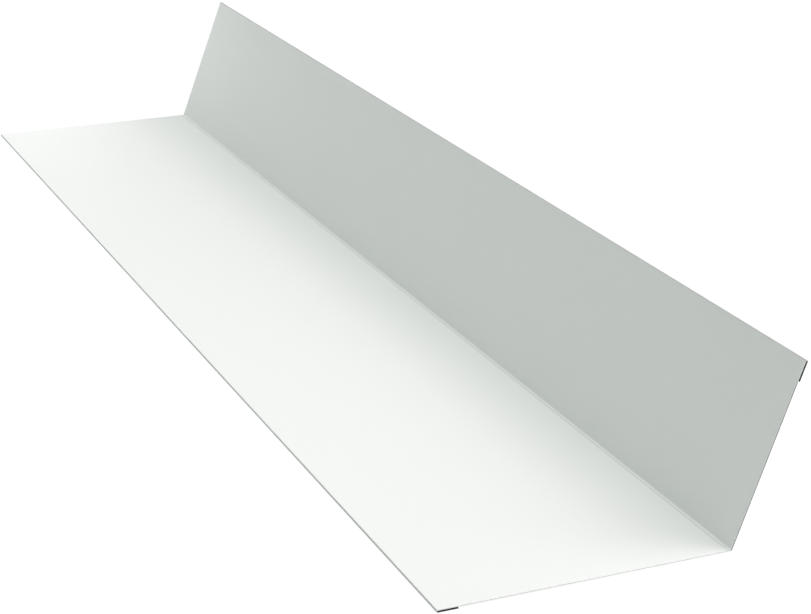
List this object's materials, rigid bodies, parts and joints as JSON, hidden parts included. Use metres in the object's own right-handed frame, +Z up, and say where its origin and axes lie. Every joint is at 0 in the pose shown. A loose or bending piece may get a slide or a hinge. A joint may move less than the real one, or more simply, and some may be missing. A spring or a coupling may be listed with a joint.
{
  "type": "abutment flashing",
  "caption": "Long folded sheet metal strip for a roof-to-wall junction, with a wide roof leg, a narrower wall leg leaning outwards and hemmed free edges.",
  "frame": {"origin": "centre of the length and of the overall width, on the floor that the part lies on", "axes": "+Y along the length and the bend, +Z up from the floor, +X from the roof leg's hem towards the wall leg"},
  "size_m": [0.2172, 1, 0.105],
  "materials": {
    "coated_steel": "smooth satin coil coating in a cool white on the weather side, pale grey backing coat on the outer side, bare cut ends"
  },
  "bodies": {
    "root": {"flashing_sheet": "coated_steel"}
  },
  "joints": []
}
